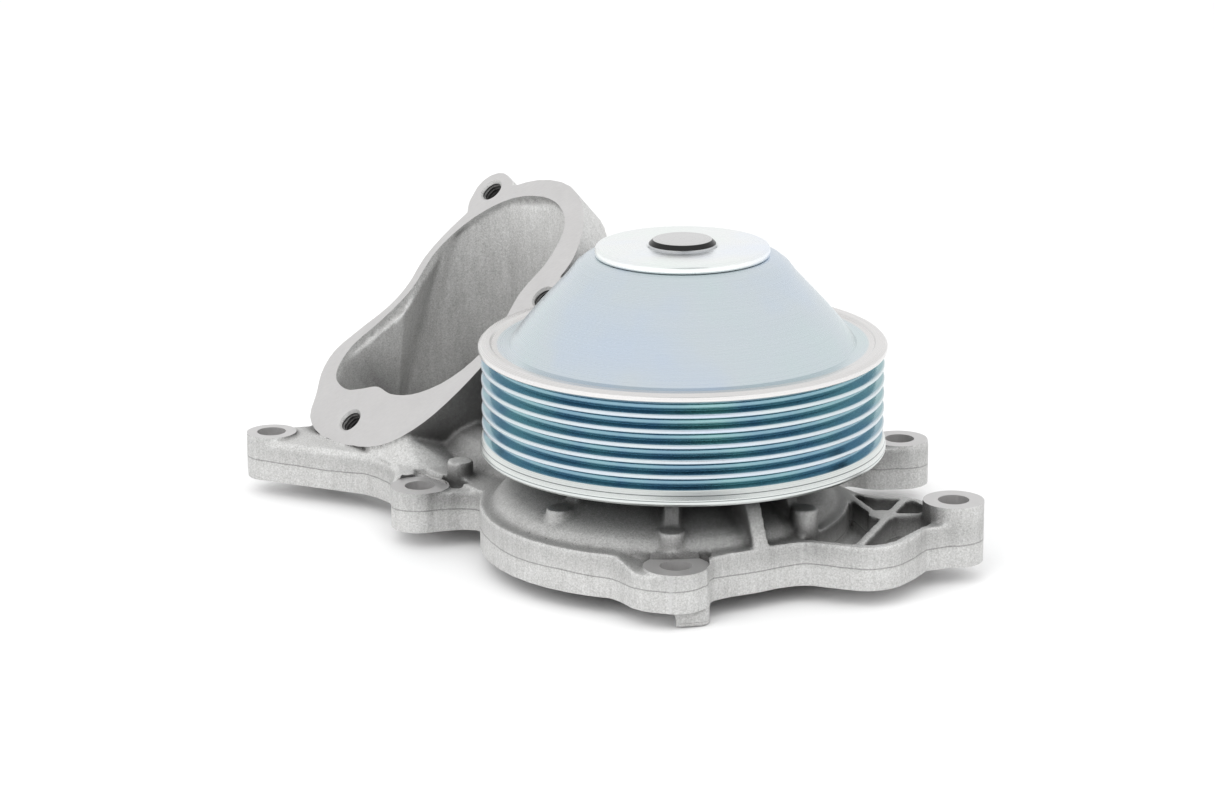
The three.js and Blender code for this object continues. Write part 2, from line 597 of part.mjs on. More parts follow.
// ---------------------------------------------------------------- mechanical seal
const SEAL_FACE_Z = 11.3;

function seal_cup() {
  const top = SEAL_BORE_TOP_Z - 0.3;
  const outer = SEAL_BORE_RADIUS - 0.1;
  return turned([
    [9.6, top], [9.6, top - 0.8], [outer - 0.8, top - 0.8], [outer - 0.8, 11.7 - 0.7],
    [17.4, 11.7 - 0.7], [17.4, 11.7 - 0.1], [outer, 11.7 - 0.1], [outer, top - 0.5], [outer - 0.5, top],
  ], SMOOTH);
}

function seal_bellows() {
  return turned([
    [8.9, 14.9], [10.6, 14.9], [10.6, 16.3], [11.4, 16.9], [11.4, 17.7], [10.6, 18.3], [10.6, 18.8],
    [14, 18.8], [14, 19.7], [9.4, 19.7], [9.4, 18.2], [10, 17.7], [10, 16.9], [8.9, 16.2],
  ], SMOOTH);
}

function seal_spring() {
  const wire = 0.45;
  const turns = 3;
  class Helix extends THREE.Curve {
    getPoint(t, target = new THREE.Vector3()) {
      const turn = t * turns * 2 * Math.PI;
      return target.set(12.7 * Math.cos(turn), 12.7 * Math.sin(turn), 14.9 + 3.2 * t);
    }
  }
  const section = new THREE.Shape();
  section.absarc(0, 0, wire, 0, 2 * Math.PI, false);
  return solid(new THREE.ExtrudeGeometry(section, {
    steps: 54, curveSegments: 3, extrudePath: new Helix(), bevelEnabled: false,
  }));
}

function carbon_ring() {
  return turned([
    [8.6, SEAL_FACE_Z + 0.2], [10.6, SEAL_FACE_Z + 0.2], [10.6, 12.4], [11.6, 12.4], [11.6, 14.6], [8.6, 14.6],
  ], SMOOTH);
}

function seal_retainer() {
  return turned([
    [11.8, 12.4], [13.8, 12.4], [13.8, 14.2], [13.2, 14.2], [13.2, 13], [12.4, 13], [12.4, 14.6], [11.8, 14.6],
  ], SMOOTH);
}

function seal_seat() {
  return ring(8.3, 11.6, 8.6, SEAL_FACE_Z);
}

function seat_sleeve() {
  return turned([
    [SHAFT_TAIL_RADIUS + 0.05, 8.5], [8.1, 8.5], [8.1, SEAL_FACE_Z - 0.2], [7.2, SEAL_FACE_Z - 0.2],
    [6.8, 12.6], [SHAFT_TAIL_RADIUS + 0.05, 12.6],
  ], SMOOTH);
}

// ---------------------------------------------------------------- impeller
const BLADE_COUNT = 7;

function blade(index) {
  const half = 0.9;
  const path = new THREE.QuadraticBezierCurve(
    new THREE.Vector2(9.4, 0), new THREE.Vector2(19, 1.5), new THREE.Vector2(24.6, 13),
  );
  const steps = 6;
  const left = [];
  const right = [];
  for (let i = 0; i <= steps; i += 1) {
    const point = path.getPoint(i / steps);
    const way = path.getTangent(i / steps);
    left.push([point.x - way.y * half, point.y + way.x * half]);
    right.unshift([point.x + way.y * half, point.y - way.x * half]);
  }
  const geometry_turn = (360 / BLADE_COUNT) * index;
  const spin = THREE.MathUtils.degToRad(geometry_turn);
  const spun = [...right.reverse(), ...left.reverse()].map(([x, y]) => [
    x * Math.cos(spin) - y * Math.sin(spin), x * Math.sin(spin) + y * Math.cos(spin),
  ]);
  return plate(spun, 1.2, 6.6);
}

function impeller() {
  const disc = turned([
    [8.8, 1.2], [11, 1.2], [12, 5.6], [IMPELLER_RADIUS, 6.3], [IMPELLER_RADIUS, 8], [8.8, 8],
  ], 36);
  return union([disc, ...Array.from({ length: BLADE_COUNT }, (_, i) => blade(i))]);
}

function impeller_bush() {
  return turned([
    [SHAFT_TAIL_RADIUS + 0.03, 1.2], [8.6, 1.2], [8.6, 7.9], [SHAFT_TAIL_RADIUS + 0.03, 7.9],
  ], SMOOTH);
}

// ---------------------------------------------------------------- materials and assembly
const CAST_ALUMINIUM = { color: 0xc3c3c0, metalness: 0.55, roughness: 0.62 };
const ZINC_PLATE = { color: 0xbec6cd, metalness: 0.9, roughness: 0.28 };
const GROUND_STEEL = { color: 0xb4b6b8, metalness: 0.95, roughness: 0.25 };
const BEARING_STEEL = { color: 0xd0d2d4, metalness: 1, roughness: 0.12 };
const CAGE_PLASTIC = { color: 0xd8cfae, metalness: 0, roughness: 0.5 };
const RUBBER = { color: 0x1c1c1e, metalness: 0, roughness: 0.8 };
const CARBON = { color: 0x2c2c30, metalness: 0.1, roughness: 0.45 };
const CERAMIC = { color: 0xe6e2d8, metalness: 0, roughness: 0.3 };
const STAINLESS = { color: 0xc6c8ca, metalness: 1, roughness: 0.22 };
const IMPELLER_PLASTIC = { color: 0x35312d, metalness: 0, roughness: 0.55 };
const BRASS = { color: 0xc9a45c, metalness: 1, roughness: 0.3 };

const pump = new THREE.Group();
pump.name = 'water_pump';

function put(name, body, look) {
  const mesh = new THREE.Mesh(geometry_of(body), new THREE.MeshStandardMaterial(look));
  mesh.name = name;
  pump.add(mesh);
}

put('housing', housing(), CAST_ALUMINIUM);
put('face_gasket', face_gasket(), RUBBER);
put('pulley', pulley(), ZINC_PLATE);
put('pulley_hub', pulley_hub(), ZINC_PLATE);
put('shaft', shaft(), GROUND_STEEL);
put('bearing_outer_ring', bearing_outer_ring(), GROUND_STEEL);
put('bearing_seal_rear', bearing_seal(BEARING_Z[0] + 0.5), RUBBER);
put('bearing_seal_front', bearing_seal(BEARING_Z[1] - 1.8), RUBBER);
put('ball_cage', ball_cage(), CAGE_PLASTIC);
put('roller_cage', roller_cage(), CAGE_PLASTIC);
for (let i = 0; i < BALL_COUNT; i += 1) put(`ball_${i + 1}`, ball(i), BEARING_STEEL);
for (let i = 0; i < ROLLER_COUNT; i += 1) put(`roller_${i + 1}`, roller(i), BEARING_STEEL);
put('seal_cup', seal_cup(), STAINLESS);
put('seal_bellows', seal_bellows(), RUBBER);
put('seal_spring', seal_spring(), STAINLESS);
put('seal_retainer', seal_retainer(), STAINLESS);
put('carbon_ring', carbon_ring(), CARBON);
put('seal_seat', seal_seat(), CERAMIC);
put('seat_sleeve', seat_sleeve(), RUBBER);
put('impeller', impeller(), IMPELLER_PLASTIC);
put('impeller_bush', impeller_bush(), BRASS);

export default pump;
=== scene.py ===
"""Looks for the water pump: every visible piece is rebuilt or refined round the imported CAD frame."""
import json
import math

import bmesh
import bpy
from mathutils import Matrix, Vector


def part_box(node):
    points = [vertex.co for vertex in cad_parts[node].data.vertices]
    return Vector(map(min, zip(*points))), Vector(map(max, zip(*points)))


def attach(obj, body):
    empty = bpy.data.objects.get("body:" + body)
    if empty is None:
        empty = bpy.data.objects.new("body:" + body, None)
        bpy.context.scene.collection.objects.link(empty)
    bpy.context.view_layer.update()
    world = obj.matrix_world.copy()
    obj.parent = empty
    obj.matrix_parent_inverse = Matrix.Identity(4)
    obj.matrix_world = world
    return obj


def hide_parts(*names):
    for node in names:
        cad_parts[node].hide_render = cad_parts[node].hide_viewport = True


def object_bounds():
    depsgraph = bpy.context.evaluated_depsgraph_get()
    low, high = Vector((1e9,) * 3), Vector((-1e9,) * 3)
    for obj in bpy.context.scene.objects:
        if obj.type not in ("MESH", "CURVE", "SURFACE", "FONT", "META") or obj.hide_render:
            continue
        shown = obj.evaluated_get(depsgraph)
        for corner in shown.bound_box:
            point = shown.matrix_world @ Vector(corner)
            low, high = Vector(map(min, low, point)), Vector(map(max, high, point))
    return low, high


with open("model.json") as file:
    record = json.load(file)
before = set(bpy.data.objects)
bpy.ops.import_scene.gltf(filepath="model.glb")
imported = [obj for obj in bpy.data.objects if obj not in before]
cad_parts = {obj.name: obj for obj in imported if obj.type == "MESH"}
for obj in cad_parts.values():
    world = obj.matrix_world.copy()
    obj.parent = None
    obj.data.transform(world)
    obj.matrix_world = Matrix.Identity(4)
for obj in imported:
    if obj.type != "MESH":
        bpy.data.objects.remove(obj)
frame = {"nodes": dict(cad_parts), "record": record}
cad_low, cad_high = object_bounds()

MM = 0.001
NODES = frame["nodes"]
RECORD = frame["record"]
SLOT_OF = {row["node"]: row["material_slot"] for row in RECORD["subparts"]}
BODY_OF = {node: body for body, names in RECORD["behaviour"]["bodies"].items() for node in names}


# ---------------------------------------------------------------- mesh helpers
def link(name, mesh):
    """A new object at the origin that holds this mesh."""
    obj = bpy.data.objects.new(name, mesh)
    bpy.context.scene.collection.objects.link(obj)
    return obj


def from_bmesh(name, bm):
    """A new object made of this bmesh, which is freed."""
    mesh = bpy.data.meshes.new(name)
    bm.to_mesh(mesh)
    bm.free()
    return link(name, mesh)


def cad_bmesh(node):
    """The CAD node's own mesh as one welded skin."""
    bm = bmesh.new()
    bm.from_mesh(NODES[node].data)
    bmesh.ops.remove_doubles(bm, verts=bm.verts, dist=1e-6)
    return bm


def modifier(obj, kind, **settings):
    """Adds a modifier of that kind with those settings."""
    made = obj.modifiers.new(kind.lower(), kind)
    for key, value in settings.items():
        setattr(made, key, value)
    return made


def subtract(obj, cutter):
    """Cuts one object out of another when the first is baked."""
    modifier(obj, "BOOLEAN", operation="DIFFERENCE", solver="MANIFOLD", object=cutter)


def bake(obj):
    """Replaces the object's mesh by what its modifiers make of it."""
    graph = bpy.context.evaluated_depsgraph_get()
    mesh = bpy.data.meshes.new_from_object(obj.evaluated_get(graph))
    obj.modifiers.clear()
    obj.data = mesh
    return obj


def shade(obj, angle):
    """Smooth shading, with edges sharper than the angle in degrees kept sharp."""
    obj.data.shade_smooth()
    obj.data.set_sharp_from_angle(angle=math.radians(angle))
    return obj


def finish_piece(obj, node, material):
    """The piece stands for a CAD node: the node is hidden, the piece joins the node's body, and it gets this
    material if it has none.
    """
    if not obj.data.materials:
        obj.data.materials.append(material)
    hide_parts(node)
    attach(obj, BODY_OF[node])
    return obj


# Corners flatter than this get no fillet.
NEARLY_STRAIGHT = math.radians(176)


def rounded(profile, steps=3):
    """A closed outline of (r, z) or (r, z, fillet) points in millimetres, with its fillets drawn."""
    points = []
    count = len(profile)
    for i, corner in enumerate(profile):
        here = Vector(corner[:2])
        fillet = corner[2] if len(corner) > 2 else 0
        before = Vector(profile[i - 1][:2]) - here
        after = Vector(profile[(i + 1) % count][:2]) - here
        bend = before.angle(after) if fillet else math.pi
        if not fillet or bend > NEARLY_STRAIGHT:
            points.append(here)
            continue
        shorter_side = min(before.length, after.length)
        reach = min(fillet / math.tan(bend / 2), shorter_side * 0.49)
        start = here + before.normalized() * reach
        end = here + after.normalized() * reach
        for k in range(steps + 1):
            t = k / steps
            points.append(start * (1 - t) ** 2 + here * 2 * t * (1 - t) + end * t ** 2)
    return points


def lathe(name, profile, segments):
    """A closed outline turned about the shaft's axis; points on the axis become single vertices."""
    bm = bmesh.new()
    rings = []
    for r, z in profile:
        if r < 1e-6:
            rings.append([bm.verts.new((0, 0, z * MM))])
            continue
        ring = []
        for i in range(segments):
            turn = 2 * math.pi * i / segments
            ring.append(bm.verts.new((r * math.cos(turn) * MM, r * math.sin(turn) * MM, z * MM)))
        rings.append(ring)
    for k, ring in enumerate(rings):
        following = rings[(k + 1) % len(rings)]
        if len(ring) == 1 and len(following) == 1:
            continue
        for i in range(segments):
            j = (i + 1) % segments
            corners = [ring[i % len(ring)], ring[j % len(ring)],
                       following[j % len(following)], following[i % len(following)]]
            bm.faces.new(list(dict.fromkeys(corners)))
    bmesh.ops.recalc_face_normals(bm, faces=bm.faces)
    return from_bmesh(name, bm)


def slice_outline(node):
    """The [r, z] outline of a turned CAD node in millimetres, read from a cut through its mesh.

    The cutting plane is tilted a little, so that it misses the mesh's own edges.
    """
    bm = cad_bmesh(node)
    tilt = math.radians(0.4)
    normal = Vector((math.cos(tilt), math.sin(tilt), 0))
    along = Vector((math.sin(tilt), -math.cos(tilt), 0))
    cut = bmesh.ops.bisect_plane(
        bm, geom=bm.verts[:] + bm.edges[:] + bm.faces[:], plane_co=(0, 0, 0), plane_no=normal,
        clear_outer=True, dist=1e-9)["geom_cut"]
    edges = {e for e in cut if isinstance(e, bmesh.types.BMEdge)}
    near = {}
    for edge in edges:
        a, b = edge.verts
        near.setdefault(a, []).append(b)
        near.setdefault(b, []).append(a)
    start = max(near, key=lambda v: (round(v.co.dot(along), 7), v.co.z))
    path = [start]
    seen = {start}
    while True:
        onward = [v for v in near[path[-1]] if v not in seen]
        if not onward:
            break
        path.append(onward[0])
        seen.add(onward[0])
    outline = [(v.co.dot(along) / MM, v.co.z / MM) for v in path]
    bm.free()
    return outline


def straight_runs_removed(outline):
    """The outline without points that lie on a straight line between their neighbours."""
    kept = []
    count = len(outline)
    for i in range(count):
        before, here, after = (Vector(outline[(i + k) % count]) for k in (-1, 0, 1))
        arriving = here - before
        leaving = after - here
        if arriving.length < 1e-3:
            continue
        if leaving.length and abs(arriving.normalized().cross(leaving.normalized())) > 0.01:
            kept.append(outline[i])
    return kept


def turned_again(name, node, material, fillet=0.18, segments=128):
    """A turned CAD node made again with a finer turn and small corner fillets."""
    outline = straight_runs_removed(slice_outline(node))
    profile = rounded([(r, z, fillet) for r, z in outline])
    obj = shade(lathe(name, profile, segments), 40)
    return finish_piece(obj, node, material)


def soften(obj, voxel_mm, steps, keep):
    """Remeshes a solid, eases its corners and then keeps that share of its faces."""
    modifier(obj, "REMESH", mode="VOXEL", voxel_size=voxel_mm * MM)
    modifier(obj, "SMOOTH", factor=0.5, iterations=steps)
    modifier(obj, "DECIMATE", ratio=keep)


def moulded(name, node, voxel_mm, steps, material):
    """A CAD node as a moulding with soft corners."""
    obj = from_bmesh(name, cad_bmesh(node))
    soften(obj, voxel_mm, steps, 0.4)
    shade(bake(obj), 50)
    return finish_piece(obj, node, material)


# ---------------------------------------------------------------- material helpers
class Look:
    """A procedural material being built: nodes are added and linked in one call."""

    def __init__(self, name, **shader):
        self.material = bpy.data.materials.new(name)
        self.material.use_nodes = True
        self.nodes = self.material.node_tree.nodes
        self.links = self.material.node_tree.links
        self.shader = self.nodes["Principled BSDF"]
        self.set(self.shader, shader)
        self.place = self.add("ShaderNodeTexCoord").outputs["Object"]

    def set(self, node, values):
        """Gives the node's inputs these values, or links them to these sockets."""
        for key, value in values.items():
            socket = node.inputs[key]
            if isinstance(value, bpy.types.NodeSocket):
                self.links.new(value, socket)
            else:
                socket.default_value = value

    def add(self, kind, values=None, **settings):
        """A new node with these inputs and settings."""
        node = self.nodes.new(kind)
        for key, value in settings.items():
            setattr(node, key, value)
        self.set(node, values or {})
        return node

    def math(self, operation, a, b=0.0):
        node = self.add("ShaderNodeMath", operation=operation)
        self.set(node, {0: a, 1: b})
        return node.outputs[0]

    def stretched(self, x, y, z):
        """Object position scaled on each axis, in metres."""
        node = self.add("ShaderNodeMapping", {"Vector": self.place, "Scale": (x, y, z)})
        return node.outputs["Vector"]

    def noise(self, size_mm, detail=4, rough=0.5, vector=None):
        """Noise with lumps of about that size, from 0 to 1."""
        node = self.add("ShaderNodeTexNoise", {
            "Vector": vector or self.place, "Scale": 1 / (size_mm * MM),
            "Detail": detail, "Roughness": rough})
        return node.outputs["Fac"]

    def ramp(self, value, stops):
        """A colour ramp: stops are (position, colour) pairs."""
        node = self.add("ShaderNodeValToRGB", {"Fac": value})
        band = node.color_ramp
        while len(band.elements) < len(stops):
            band.elements.new(0.5)
        for element, (position, colour) in zip(band.elements, stops):
            element.position = position
            element.color = colour if len(colour) == 4 else (*colour, 1)
        return node.outputs["Color"]

    def mix(self, share, a, b, blend="MIX"):
        """Colour a with that share of colour b blended in."""
        node = self.add("ShaderNodeMix", data_type="RGBA", blend_type=blend)
        self.set(node, {0: share, 6: a, 7: b})
        return node.outputs[2]

    def between(self, value, low, high, to_low=0.0, to_high=1.0):
        """value mapped from low..high to to_low..to_high, and held there outside."""
        node = self.add("ShaderNodeMapRange", {
            "Value": value, "From Min": low, "From Max": high, "To Min": to_low, "To Max": to_high})
        return node.outputs["Result"]

    def round_axis(self):
        """(distance from the shaft's axis, height) in metres."""
        split = self.add("ShaderNodeSeparateXYZ", {0: self.place})
        flat = self.add("ShaderNodeCombineXYZ", {0: split.outputs[0], 1: split.outputs[1]})
        length = self.add("ShaderNodeVectorMath", {0: flat.outputs[0]}, operation="LENGTH")
        return length.outputs["Value"], split.outputs[2]

    def turned_lines(self, size_mm, detail=3):
        """Fine rings round the shaft's axis, as a lathe tool leaves them."""
        radius, height = self.round_axis()
        vector = self.add("ShaderNodeCombineXYZ", {0: radius, 1: height}).outputs[0]
        return self.noise(size_mm, detail, 0.6, vector)

    def bump(self, height, strength, depth_mm, normal=None):
        """A normal that follows the height map, on top of another normal if one is given."""
        values = {"Height": height, "Strength": strength, "Distance": depth_mm * MM}
        if normal is not None:
            values["Normal"] = normal
        return self.add("ShaderNodeBump", values).outputs["Normal"]

    def done(self, **inputs):
        """Sets the shader's last inputs and hands over the material."""
        self.set(self.shader, inputs)
        return self.material


def grey(value, tint=(1, 1, 1)):
    """An RGBA grey, tinted."""
    return (value * tint[0], value * tint[1], value * tint[2], 1)


# ---------------------------------------------------------------- materials
def cast_aluminium():
    """Matt die-cast skin: sandy grain, flow streaks, a parting line and rubbed edges, with painted shade in
    creases, hollows and under the pulley.
    """
    look = Look("cast_aluminium", Metallic=0.35)
    blotch = look.noise(14, 5, 0.6)
    grain = look.noise(0.42, 4, 0.75)
    streaks = look.noise(1.1, 3, 0.6, look.stretched(1, 1, 0.12))
    colour = look.ramp(blotch, [(0.3, grey(0.56, (1, 0.995, 0.98))), (0.7, grey(0.65, (1, 1, 0.985)))])
    colour = look.mix(0.9, colour, look.ramp(grain, [(0.32, grey(0.1)), (0.68, grey(0.85))]), "SOFT_LIGHT")
    colour = look.mix(0.35, colour, look.ramp(streaks, [(0.35, grey(0.3)), (0.65, grey(0.7))]), "SOFT_LIGHT")
    height = look.round_axis()[1]
    surface = look.add("ShaderNodeNewGeometry")
    facing_up = look.add("ShaderNodeSeparateXYZ", {0: surface.outputs["Normal"]}).outputs[2]
    upright = look.between(look.math("ABSOLUTE", facing_up), 0.25, 0.1)
    wander = look.math("MULTIPLY", look.math("SUBTRACT", look.noise(25, 2), 0.5), 2 * MM)
    line_height = look.math("ADD", wander, PARTING_HEIGHT * MM)
    off_line = look.math("ABSOLUTE", look.math("SUBTRACT", height, line_height))
    parting = look.math("MULTIPLY", look.between(off_line, 0.22 * MM, 0.05 * MM), upright)
    colour = look.mix(look.math("MULTIPLY", parting, 0.5), colour, grey(0.12))
    # Creases and hollows, where pointiness is low, get painted shade in a dark brownish grey. Sharp outer
    # edges are lightened as rubbed wear.
    edge = surface.outputs["Pointiness"]
    colour = look.mix(look.between(edge, 0.49, 0.42), colour, grey(0.14, (1, 0.95, 0.9)))
    colour = look.mix(look.between(edge, 0.54, 0.62, 0, 0.5), colour, grey(0.62))
    # Painted shade: an ambient occlusion node darkens corners, hollows and what lies under the pulley, and
    # does so less near the engine face.
    painted_shade_occlusion = look.add("ShaderNodeAmbientOcclusion", {"Distance": 30 * MM}, samples=6).outputs["AO"]
    painted_shade_by_height = look.between(height, 4 * MM, 10 * MM, 0.2, 1)
    painted_shade = look.math("MULTIPLY", look.between(painted_shade_occlusion, 0.90, 0.45, 0, 0.96), painted_shade_by_height)
    colour = look.mix(painted_shade, colour, grey(0.03, (1, 0.96, 0.92)))
    normal = look.bump(streaks, 0.25, 0.08)
    normal = look.bump(grain, 0.8, 0.12, normal)
    normal = look.bump(parting, 0.6, 0.15, normal)
    rough = look.between(blotch, 0.3, 0.7, 0.5, 0.62)
    return look.done(**{"Base Color": colour, "Roughness": rough, "Normal": normal})


# The middle of the milling cutter's arcs, in millimetres.
CUTTER_CENTRE = (-90, -120)


def machined_aluminium():
    """Milled face: brighter, with the cutter's long shallow arcs."""
    look = Look("machined_aluminium", Metallic=0.55)
    split = look.add("ShaderNodeSeparateXYZ", {0: look.place})
    sweep = look.add("ShaderNodeCombineXYZ", {
        0: look.math("SUBTRACT", split.outputs[0], CUTTER_CENTRE[0] * MM),
        1: look.math("SUBTRACT", split.outputs[1], CUTTER_CENTRE[1] * MM)})
    distance = look.add("ShaderNodeVectorMath", {0: sweep.outputs[0]}, operation="LENGTH").outputs["Value"]
    arcs = look.add("ShaderNodeCombineXYZ", {0: distance, 1: look.math("MULTIPLY", split.outputs[2], 0.3)})
    lines = look.noise(0.3, 3, 0.7, arcs.outputs[0])
    cloud = look.noise(7, 4, 0.5)
    colour = look.ramp(lines, [(0.3, grey(0.50, (1, 0.985, 0.98))), (0.7, grey(0.56, (1, 0.985, 0.98)))])
    colour = look.mix(0.3, colour, look.ramp(cloud, [(0.3, grey(0.42)), (0.7, grey(0.6))]), "SOFT_LIGHT")
    normal = look.bump(lines, 0.2, 0.02)
    rough = look.between(lines, 0.3, 0.7, 0.3, 0.42)
    return look.done(**{"Base Color": colour, "Roughness": rough, "Normal": normal})


# Belt track of the pulley in millimetres: the ribs' radius, its upper and lower ends, the radius where
# the rolled lip starts, and the heights of two thin dark lines drawn round the band below the grooves.
RIB_RADIUS = 47.95
TRACK_TOP = 47.6
TRACK_FOOT = 27.1
LIP_RADIUS = 44.4
FOOT_DARK_LINES = (25.9, 24.6)


def belt_track(look, pale, cloud):
    """The rim's colour over its pale plate, and where the grooves are.

    The grooves and the rim's inside are teal, the rolled lip is warm white, and the band below the
    grooves is white with two thin dark lines round it.
    """
    radius, height = look.round_axis()
    teal = look.ramp(cloud, [
        (0.3, (0.25, 0.43, 0.44, 1)), (0.5, (0.19, 0.32, 0.41, 1)), (0.7, (0.27, 0.46, 0.46, 1))])
    inside = look.between(radius, RIB_RADIUS * MM, (RIB_RADIUS - 0.5) * MM)
    below = look.between(height, (TRACK_TOP + 0.2) * MM, TRACK_TOP * MM)
    grooves = look.math("MULTIPLY", inside, below)
    colour = look.mix(grooves, pale, teal)
    outer = look.between(radius, (LIP_RADIUS - 0.6) * MM, LIP_RADIUS * MM)
    lip = look.math("MULTIPLY", outer, look.between(height, TRACK_TOP * MM, (TRACK_TOP + 0.4) * MM))
    colour = look.mix(lip, colour, grey(0.72, (1, 0.985, 0.975)))
    foot = look.math("MULTIPLY", outer, look.between(height, (TRACK_FOOT + 0.2) * MM, TRACK_FOOT * MM))
    colour = look.mix(foot, colour, grey(0.70, (0.96, 1, 0.98)))
    for level in FOOT_DARK_LINES:
        away = look.math("ABSOLUTE", look.math("SUBTRACT", height, level * MM))
        dark_line = look.math("MULTIPLY", look.between(away, 0.16 * MM, 0.06 * MM, 0, 0.75), outer)
        colour = look.mix(dark_line, colour, grey(0.08, (0.8, 1, 1.1)))
    return colour, grooves


def zinc_plate(name, tone, has_belt_track=False):
    """Blue-passivated zinc: pale and bright, with faint green and blue clouds."""
    look = Look(name, Metallic=1.0)
    lines = look.turned_lines(0.3)
    cloud = look.noise(30, 3, 0.5)
    greener = tuple(c * k for c, k in zip(tone, (0.97, 1.02, 0.98)))
    bluer = tuple(c * k for c, k in zip(tone, (0.95, 0.98, 1.06)))
    colour = look.ramp(cloud, [(0.32, greener), (0.5, tone), (0.68, bluer)])
    rough = look.between(lines, 0.3, 0.7, 0.24, 0.32)
    if has_belt_track:
        colour, grooves = belt_track(look, colour, cloud)
        rough = look.math("SUBTRACT", rough, look.math("MULTIPLY", grooves, 0.12))
    colour = look.mix(0.12, colour, look.ramp(lines, [(0.3, grey(0.3)), (0.7, grey(0.8))]), "SOFT_LIGHT")
    return look.done(**{"Base Color": colour, "Roughness": rough, "Normal": look.bump(lines, 0.05, 0.02)})


def shaft_end_steel():
    """Ground bearing steel, with the dark unground chamfer round the end of the shaft."""
    look = Look("shaft_steel", Metallic=1.0)
    lines = look.turned_lines(0.3)
    height = look.round_axis()[1]
    top = SHAFT_TOP * MM
    edge = top - (SHAFT_CHAMFER + 0.1) * MM
    above_edge = look.between(height, edge - 0.05 * MM, edge)
    below_top = look.between(height, top - 0.02 * MM, top - 0.1 * MM)
    chamfer = look.math("MULTIPLY", above_edge, below_top)
    tone = look.ramp(lines, [(0.3, grey(0.58)), (0.7, grey(0.66))])
    tone = look.mix(chamfer, tone, grey(0.035))
    rough = look.between(lines, 0.3, 0.7, 0.24, 0.34)
    return look.done(**{"Base Color": tone, "Roughness": rough, "Normal": look.bump(lines, 0.15, 0.02)})


def turned_metal(name, colour, metallic, rough, line_mm=0.25, strength=0.12):
    """Ground or turned metal with rings round the shaft's axis."""
    look = Look(name, Metallic=metallic)
    lines = look.turned_lines(line_mm)
    cloud = look.noise(5, 4, 0.55)
    darker = tuple(c * 0.86 for c in colour) + (1,)
    tone = look.mix(look.between(cloud, 0.3, 0.7), darker, (*colour, 1))
    tone = look.mix(0.2, tone, look.ramp(lines, [(0.3, grey(0.3)), (0.7, grey(0.75))]), "SOFT_LIGHT")
    normal = look.bump(lines, strength, 0.02)
    roughness = look.between(lines, 0.3, 0.7, rough * 0.85, rough * 1.2)
    return look.done(**{"Base Color": tone, "Roughness": roughness, "Normal": normal})


def moulded_stuff(name, colour, rough, grain_mm=0.4, depth_mm=0.02):
    """Rubber, plastic, carbon or ceramic: fine grain and slightly uneven tone."""
    look = Look(name)
    grain = look.noise(grain_mm, 4, 0.6)
    cloud = look.noise(6, 4, 0.5)
    paler = tuple(min(1, c * 1.35 + 0.01) for c in colour) + (1,)
    tone = look.mix(look.between(cloud, 0.3, 0.75), (*colour, 1), paler)
    tone = look.mix(0.25, tone, look.ramp(grain, [(0.3, grey(0.3)), (0.7, grey(0.7))]), "SOFT_LIGHT")
    roughness = look.between(grain, 0.3, 0.7, rough * 0.85, min(1, rough * 1.15))
    normal = look.bump(grain, 0.3, depth_mm)
    return look.done(**{"Base Color": tone, "Roughness": roughness, "Normal": normal})


# ---------------------------------------------------------------- camera, floor and light
# Where the camera stands in metres, its pitch down, yaw and roll in degrees, and its lens in mm.
CAMERA_AT = (0, -0.7685, 0.25335)
CAMERA_ANGLES = (15.946, -1.346, -0.430)
CAMERA_LENS = 99.25


def camera():
    """Stands in front of the pump and looks down on it, turned a little to its left."""
    pitch, yaw, roll = (math.radians(angle) for angle in CAMERA_ANGLES)
    forward = Vector((math.sin(yaw) * math.cos(pitch), math.cos(yaw) * math.cos(pitch), -math.sin(pitch)))
    right = Vector((math.cos(yaw), -math.sin(yaw), 0))
    up = right.cross(forward)
    lean = Matrix.Rotation(-roll, 3, forward)
    right = lean @ right
    up = lean @ up
    data = bpy.data.cameras.new("camera")
    data.sensor_width = 36
    data.lens = CAMERA_LENS
    data.clip_start = 0.01
    obj = bpy.data.objects.new("camera", data)
    facing = Matrix((right, up, -forward)).transposed().to_4x4()
    obj.matrix_world = Matrix.Translation(CAMERA_AT) @ facing
    bpy.context.scene.collection.objects.link(obj)
    bpy.context.scene.camera = obj


def floor():
    """A wide pale disc just under the lowest point of the pump."""
    bm = bmesh.new()
    bmesh.ops.create_circle(bm, cap_ends=True, segments=96, radius=8)
    obj = from_bmesh("floor", bm)
    obj.location.z = cad_low.z - 0.2 * MM
    look = Look("floor", Roughness=0.75)
    tone = look.ramp(look.noise(400, 2), [(0.3, grey(0.93)), (0.7, grey(0.95))])
    obj.data.materials.append(look.done(**{"Base Color": tone}))


def area_light(name, at, watts, aim=(0, 0, 0.03)):
    """A large soft disc that lights the pump and isn't mirrored in it."""
    data = bpy.data.lights.new(name, "AREA")
    data.shape = "DISK"
    data.size = 1.2
    data.energy = watts
    obj = bpy.data.objects.new(name, data)
    obj.location = at
    obj.rotation_mode = "QUATERNION"
    obj.rotation_quaternion = (Vector(at) - Vector(aim)).to_track_quat("Z", "Y")
    obj.visible_glossy = False
    bpy.context.scene.collection.objects.link(obj)


